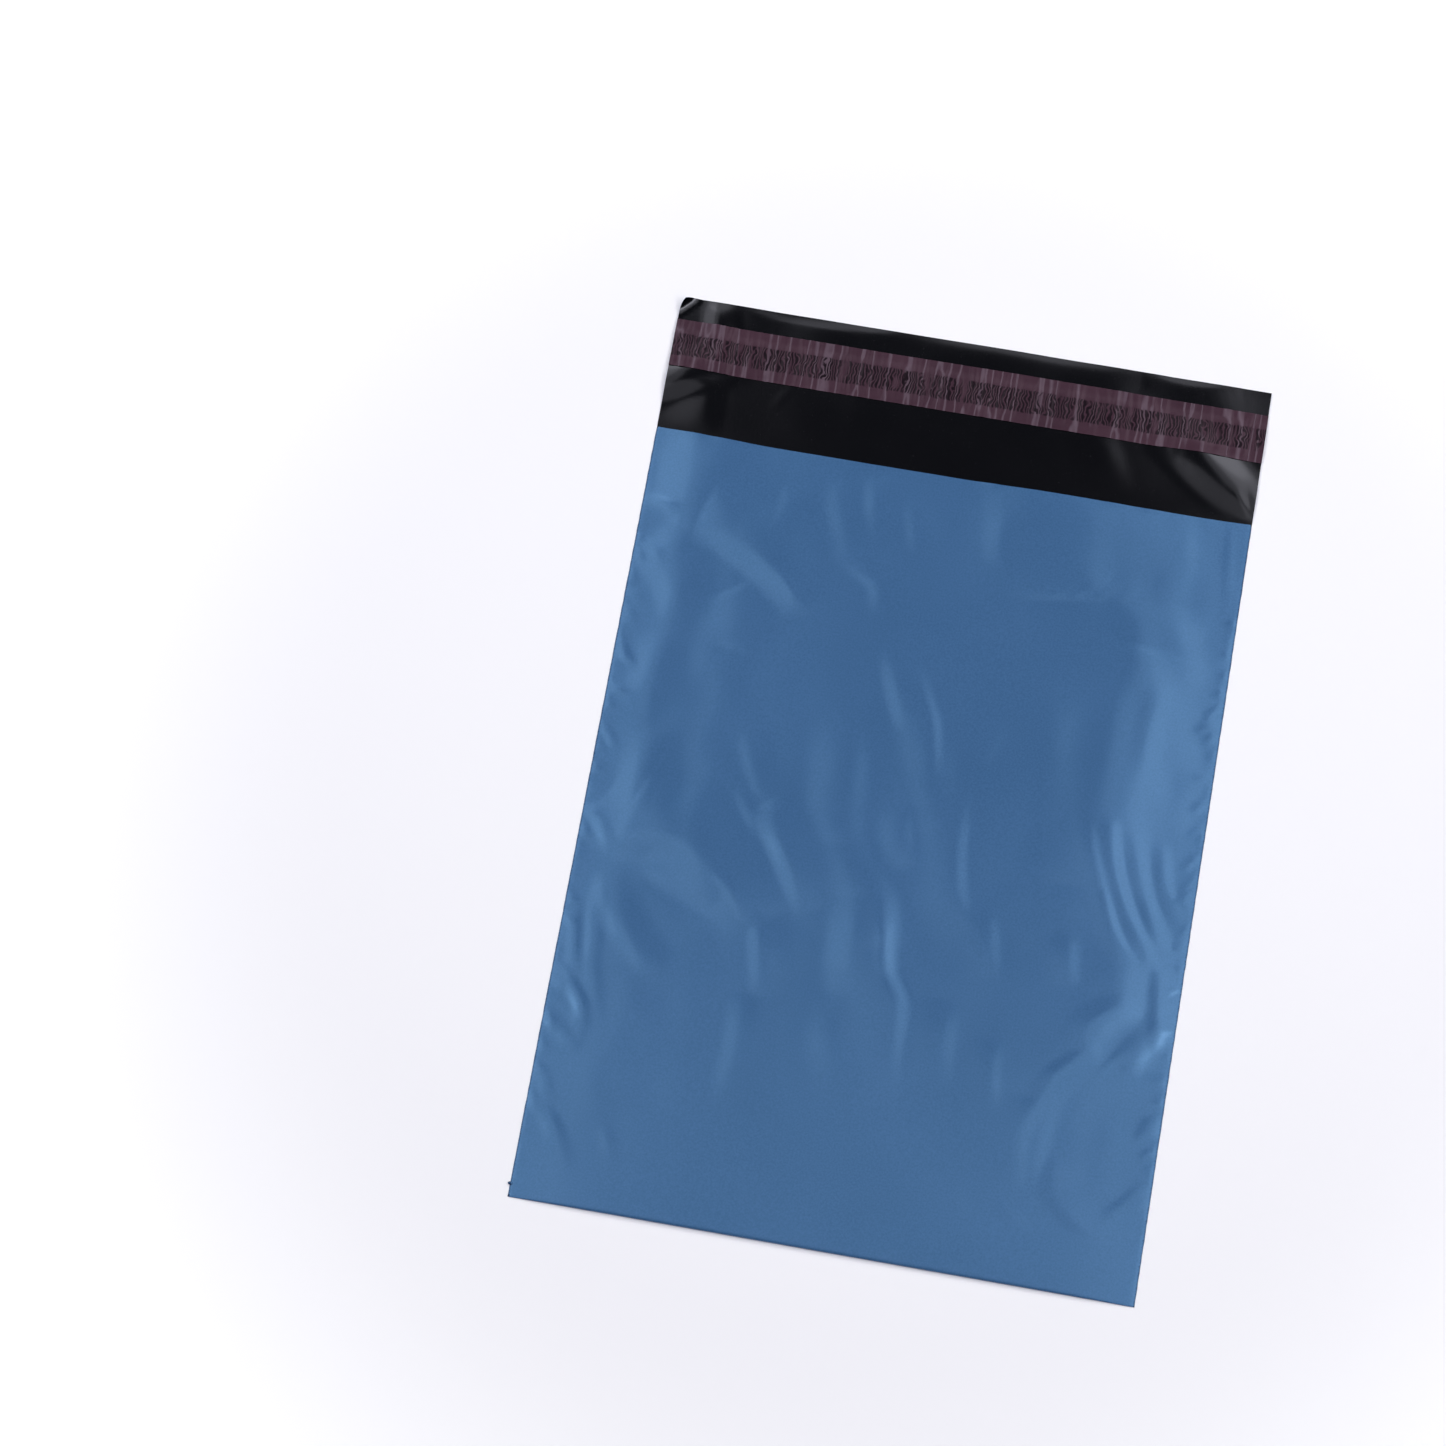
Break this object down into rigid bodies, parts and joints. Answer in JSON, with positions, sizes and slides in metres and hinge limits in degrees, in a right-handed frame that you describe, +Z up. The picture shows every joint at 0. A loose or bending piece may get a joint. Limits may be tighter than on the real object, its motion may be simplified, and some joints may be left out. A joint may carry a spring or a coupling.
{
  "type": "poly mailer bag",
  "caption": "Flat poly mailer bag of blue film with a black inside, side welds, an open mouth and a closing lip with an adhesive strip under a release liner.",
  "frame": {"origin": "under the middle of the bag, on the surface that the back panel lies on", "axes": "+X across the bag, +Y from the bottom fold to the lip's free edge, +Z up from the back panel to the front panel"},
  "size_m": [0.23, 0.355, 0.009],
  "materials": {
    "film": "satin film, blue outside and black inside",
    "adhesive": "dark, finely crinkled",
    "liner": "satin mauve film"
  },
  "bodies": {
    "root": {"film_bag": "film", "adhesive_strip": "adhesive", "release_liner": "liner"}
  },
  "joints": []
}
